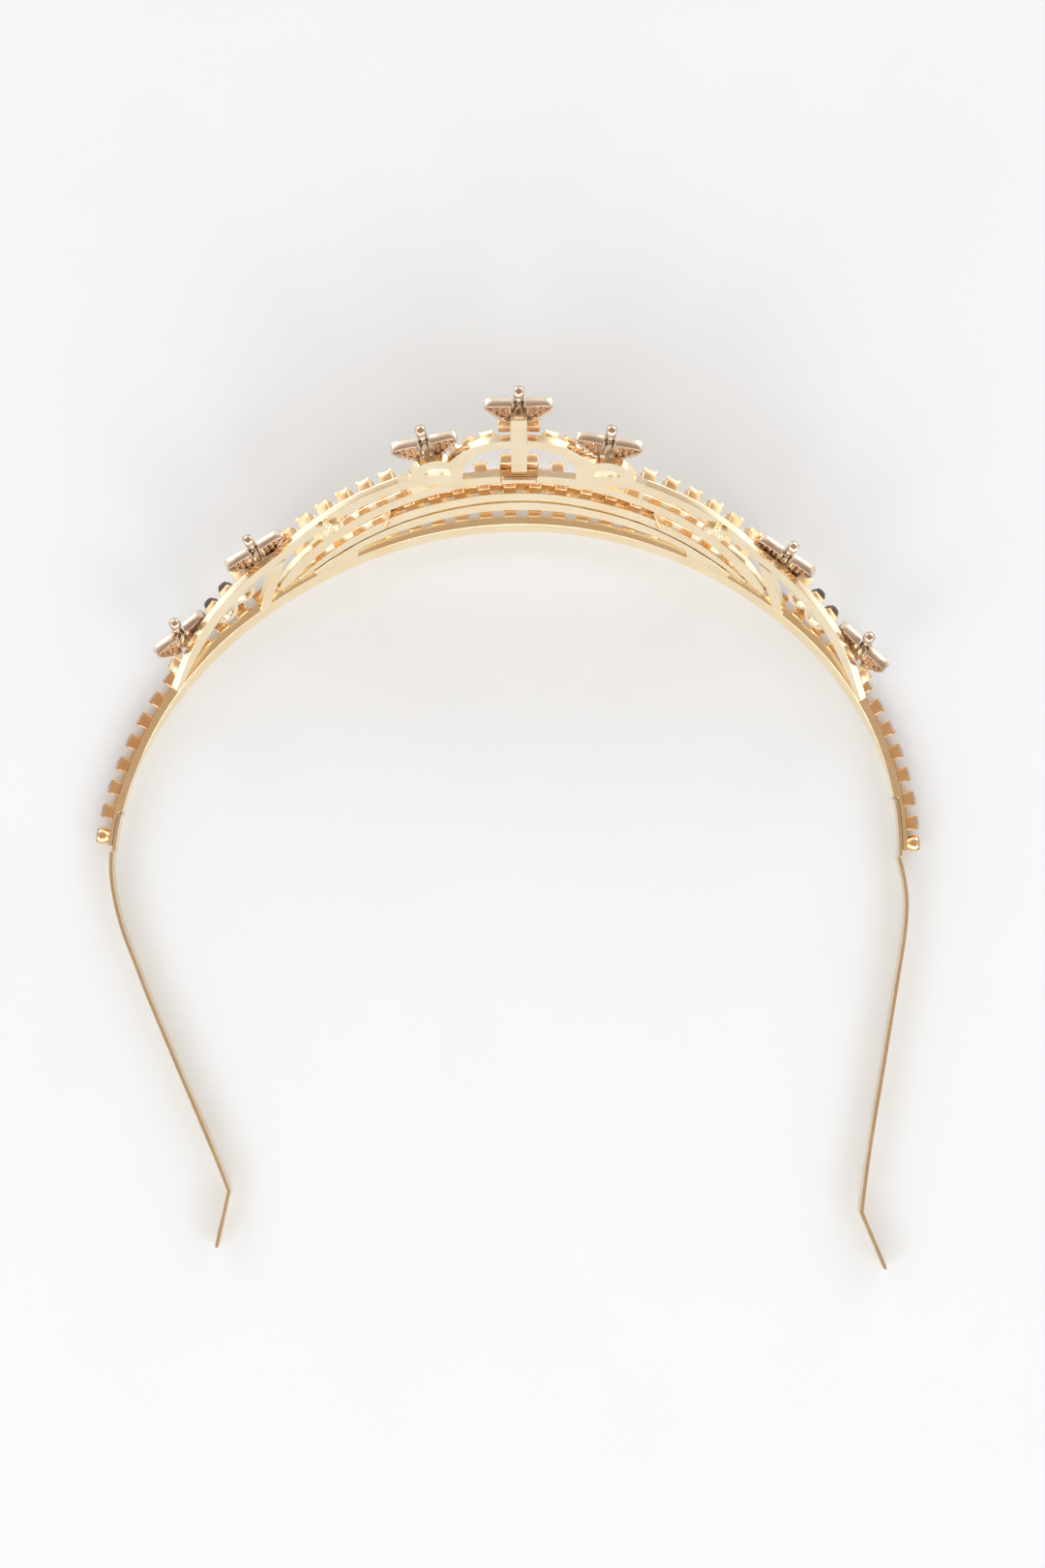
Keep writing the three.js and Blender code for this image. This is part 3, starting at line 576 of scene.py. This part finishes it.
for side in SIDES:
    name = "leaf_" + side
    polished(name, SHEET_GOLD, edge=0.12)
    place, (half_a, half_u, half_d) = face_frame(name)
    cluster = Shape()
    for k in range(3):
        turn = math.pi / 2 + k * math.tau / 3
        ca, su = math.cos(turn), math.sin(turn)
        add_hoop(cluster, place, LEAF_REACH[0] * ca, LEAF_REACH[1] * su, half_d * 0.8, 0.55, 0.2)
        add_bead(cluster, place, LEAF_TIP[0] * ca, LEAF_TIP[1] * su, half_d * 0.6, 0.3)
    add_bead(cluster, place, 0, 0, half_d * 0.8, 0.42)
    cluster.build(name + "_beads", SHEET_GOLD)

# ---------- winged motifs ----------
# Local axes as in the CAD: x along the sheet, y up the sheet, z outward. Wing outline, millimetres.
WING = [
    (1.15, -0.9), (1.9, -0.65), (2.7, -0.1), (3.5, 0.6), (4.2, 1.35), (4.85, 2.2), (5.3, 3.05),
    (5.55, 3.75), (5.45, 4.2), (5.2, 4.37), (4.2, 4.46), (3.2, 4.5), (2.2, 4.46), (1.15, 4.32),
]
WING_LOWER_EDGE = 7               # stretches of the outline that carry beads
# [distance out from the sheet, inset], from the hollow of the back round to the hollow of the front.
WING_PROFILE = [
    (0.72, 0.50), (0.12, 0.36), (0.0, 0.22), (0.07, 0.05), (0.3, 0.0), (1.50, 0.0), (1.70, 0.1),
    (1.74, 0.3), (1.5, 0.42),
]
# Middles of the pierced rings on the back and of the stones on the front, before WING_LIFT.
PIERCINGS = [
    (2.0, 2.7), (2.05, 4.0), (2.0, 5.25), (3.0, 3.35), (3.1, 4.55), (3.05, 5.6), (4.05, 4.2),
    (4.1, 5.3), (4.8, 5.35),
]
PAVE = [
    (1.9, 2.0), (2.7, 2.6), (3.5, 3.3), (4.25, 4.1), (4.8, 5.0), (2.1, 3.1), (3.0, 3.9), (3.9, 4.8),
    (2.2, 4.3), (3.1, 5.1), (2.3, 5.4), (4.0, 5.7), (4.9, 5.8), (3.1, 5.9),
]
PAVE_STONE = [(0.3, 1.40), (0.34, 1.55), (0.2, 1.74)]
WING_LIFT = -1.9
WING_CENTRE = (3.0, 2.7)
BODY_AXIS = 1.85
BODY_LOW = 0.2
BODY_HIGH = 5.6
NECK_FROM = 4.3
BODY_STEPS = 48
HEAD_AT = 6.30                    # middle of the ring, up the motif ...
HEAD_AXIS = 1.60                  # ... and out from its back
HEAD_RING = 0.58
HEAD_WIRE = 0.50
HEAD_HALF_WIDTH = 0.86


def motif_place(name):
    points = corners(name + "_body")
    middle = points.mean(0)
    _, axes = np.linalg.eigh(np.cov((points - middle).T))
    up = Vector(axes[:, 2])
    up = up if up.z > 0 else -up
    wings = corners(name + "_wings")
    _, wing_axes = np.linalg.eigh(np.cov((wings - wings.mean(0)).T))
    outward = Vector(wing_axes[:, 0])
    outward = (outward - up * outward.dot(up)).normalized()
    outward = outward if outward.dot(outward_from_head(Vector(middle))) > 0 else -outward
    low = min((points - middle) @ np.array(up))
    origin = Vector(middle) + up * (low - BODY_LOW) - outward * BODY_AXIS
    return {"back": origin, "along": up.cross(outward).normalized(), "up": up, "out": outward}


def wing_loop(place, side, z, inset):
    ring = []
    for i, (x, y) in enumerate(WING):
        to_middle = Vector((WING_CENTRE[0] - x, WING_CENTRE[1] - y))
        x, y = Vector((x, y)) + to_middle.normalized() * min(inset, to_middle.length)
        ring.append(at(place, side * x, y, z))
    return ring


def add_wing(place, side, cast, dark, gems):
    cast.loft([wing_loop(place, side, z, inset) for z, inset in WING_PROFILE])
    for x, y in PIERCINGS:
        add_hoop(dark, place, side * x, y + WING_LIFT, 0.5, 0.36, 0.13, 10)
    edge = WING[:WING_LOWER_EDGE + 1]
    for (x0, y0), (x1, y1) in zip(edge, edge[1:]):
        add_bead(cast, place, side * (x0 + x1) / 2, (y0 + y1) / 2 + 0.12, 0.2, 0.3)
    for x, y in PAVE:
        gems.loft([[at(place, side * (x + r * math.cos(k * math.tau / 8)),
                       y + WING_LIFT + r * math.sin(k * math.tau / 8), z)
                    for k in range(8)] for r, z in PAVE_STONE])


def petal(shape, place, side, x, y0, y1, z, width, thick):
    """A small domed leaf lying along the body."""
    rings = []
    steps = 9
    for i in range(steps):
        f = (i + 0.5) / steps
        w = width * math.sin(math.pi * f) ** 0.7
        cx = side * (x + 0.35 * math.sin(math.pi * f))
        cy = y0 + (y1 - y0) * f
        rings.append([at(place, cx + w * math.cos(k * math.tau / 10), cy,
                         z + thick * math.sin(math.pi * f) ** 0.7 * math.sin(k * math.tau / 10))
                      for k in range(10)])
    shape.loft(rings)


def body_radius(y):
    """A swelling body with coarse ridges, then an even neck with fine ones."""
    if y < NECK_FROM:
        swell = math.sin(math.pi * (0.12 + 0.8 * (y - BODY_LOW) / NECK_FROM)) ** 0.8
        return 0.98 * swell + 0.1 * math.cos((y - BODY_LOW) * math.tau / 0.72)
    return 0.78 + 0.07 * math.cos((y - BODY_LOW) * math.tau / 0.36)


def motif(name):
    place = motif_place(name)
    cast, dark, gems, body = Shape(), Shape(), Shape(), Shape()
    for side in (-1, 1):
        add_wing(place, side, cast, dark, gems)
        petal(cast, place, side, x=0.85, y0=-0.5, y1=4.9, z=0.42, width=0.62, thick=0.40)
    petal(cast, place, 1, x=-0.2, y0=-1.35, y1=4.3, z=0.34, width=0.75, thick=0.32)
    rings = []
    for i in range(BODY_STEPS + 1):
        y = BODY_LOW + 0.02 + (BODY_HIGH - BODY_LOW) * i / BODY_STEPS
        r = max(0.12, body_radius(y))
        rings.append([at(place, r * math.cos(k * math.tau / 20), y,
                         BODY_AXIS + r * math.sin(k * math.tau / 20)) for k in range(20)])
    body.loft(rings)
    head_rings = []
    for k in range(20):
        c, s = math.cos(k * math.tau / 20), math.sin(k * math.tau / 20)
        head_rings.append([
            at(place, HEAD_HALF_WIDTH * math.sin(j * math.tau / 14),
               HEAD_AT + (HEAD_RING + HEAD_WIRE * math.cos(j * math.tau / 14)) * c,
               HEAD_AXIS + (HEAD_RING + HEAD_WIRE * math.cos(j * math.tau / 14)) * s)
            for j in range(14)])
    body.hoop(head_rings)
    wings = cast.build(name + "_wings_cast", MOTIF_GOLD)
    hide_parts(name + "_wings")
    dark.build(name + "_piercing", DARK_GOLD)
    gems.build(name + "_pave", CLEAR_STONE, flat=True)
    trunk = body.build(name + "_body_cast", MOTIF_GOLD, sharp=60)
    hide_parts(name + "_body")


for label in ("centre", "inner_left", "inner_right", "mid_left", "mid_right", "outer_left",
              "outer_right"):
    motif("motif_" + label)


# ---------- studio ----------
WALL_TINT = (0.93, 0.97, 1.0)         # bright, evenly lit walls
CEILING_TINT = (0.40, 0.335, 0.295)   # dimmer, warmer ceiling
ZENITH_TINT = (0.37, 0.27, 0.19)      # dimmest and warmest straight above, where the camera hangs
SKY_STRENGTH = 1.42
SKY_STOPS = (                         # by the sine of the height above the horizon
    (0.0, WALL_TINT), (0.46, WALL_TINT), (0.60, CEILING_TINT), (0.82, CEILING_TINT),
    (1.0, ZENITH_TINT),
)
PAPER_TINTS = ((0.835, 0.88, 0.915), (0.845, 0.89, 0.925))
FLOOR_SIZE = 3.0
FLOOR_DROP = 0.00003                  # keeps the floor clear of the flat lower rim
LAMP_DISTANCE = 2.2
LAMP_SIZE = 1.0
LAMPS = (                             # name, azimuth from +Y, elevation, watts
    ("front_box", 180, 32, 9.0), ("left_box", -130, 30, 9.5), ("right_box", 130, 30, 9.5),
    ("low_left_box", -35, 12, 9.0), ("low_right_box", 35, 12, 9.0),
)


def studio_floor():
    bm = bmesh.new()
    bmesh.ops.create_grid(bm, x_segments=8, y_segments=8, size=FLOOR_SIZE)
    mesh = bpy.data.meshes.new("studio_floor")
    bm.to_mesh(mesh)
    bm.free()
    material = bpy.data.materials.new("pale paper")
    material.use_nodes = True
    tree = material.node_tree
    shader = tree.nodes["Principled BSDF"]
    place = node(tree, "ShaderNodeTexCoord").outputs["Object"]
    tree.links.new(blended(tree, noise(tree, place, 30.0), *PAPER_TINTS), shader.inputs["Base Color"])
    shader.inputs["Roughness"].default_value = 0.9
    mesh.materials.append(material)
    floor = bpy.data.objects.new("studio_floor", mesh)
    floor.location.z = -FLOOR_DROP
    bpy.context.scene.collection.objects.link(floor)


def studio_sky():
    """A softly lit room: bright walls, a dimmer ceiling and the dimmest part overhead."""
    world = bpy.data.worlds.new("studio")
    bpy.context.scene.world = world
    world.use_nodes = True
    tree = world.node_tree
    height = node(tree, "ShaderNodeSeparateXYZ")
    tree.links.new(node(tree, "ShaderNodeTexCoord").outputs["Generated"], height.inputs["Vector"])
    ramp = node(tree, "ShaderNodeValToRGB")
    while len(ramp.color_ramp.elements) < len(SKY_STOPS):
        ramp.color_ramp.elements.new(0.5)
    for element, (position, tint) in zip(ramp.color_ramp.elements, SKY_STOPS):
        element.position = position
        element.color = (*tint, 1)
    tree.links.new(height.outputs["Z"], ramp.inputs["Fac"])
    tree.links.new(ramp.outputs["Color"], tree.nodes["Background"].inputs["Color"])
    tree.nodes["Background"].inputs["Strength"].default_value = SKY_STRENGTH


def softbox(name, azimuth, elevation, watts):
    light = bpy.data.lights.new(name, "AREA")
    light.shape = "RECTANGLE"
    light.size = light.size_y = LAMP_SIZE
    light.energy = watts
    lamp = bpy.data.objects.new(name, light)
    a, e = math.radians(azimuth), math.radians(elevation)
    spot = Vector((math.sin(a) * math.cos(e), math.cos(a) * math.cos(e), math.sin(e))) * LAMP_DISTANCE
    lamp.matrix_world = Matrix.Translation(spot) @ spot.to_track_quat("Z", "Y").to_matrix().to_4x4()
    bpy.context.scene.collection.objects.link(lamp)


def camera():
    data = bpy.data.cameras.new("camera")
    data.sensor_fit = "VERTICAL"
    data.sensor_height = SENSOR_HEIGHT
    data.lens = SENSOR_HEIGHT * CAMERA_HEIGHT / VIEW_HEIGHT
    data.clip_start = 0.01
    eye = bpy.data.objects.new("camera", data)
    eye.location = (*CAMERA_AT, CAMERA_HEIGHT)
    bpy.context.scene.collection.objects.link(eye)
    bpy.context.scene.camera = eye


studio_floor()
studio_sky()
for lamp in LAMPS:
    softbox(*lamp)
camera()
bpy.context.scene.view_settings.view_transform = "Standard"
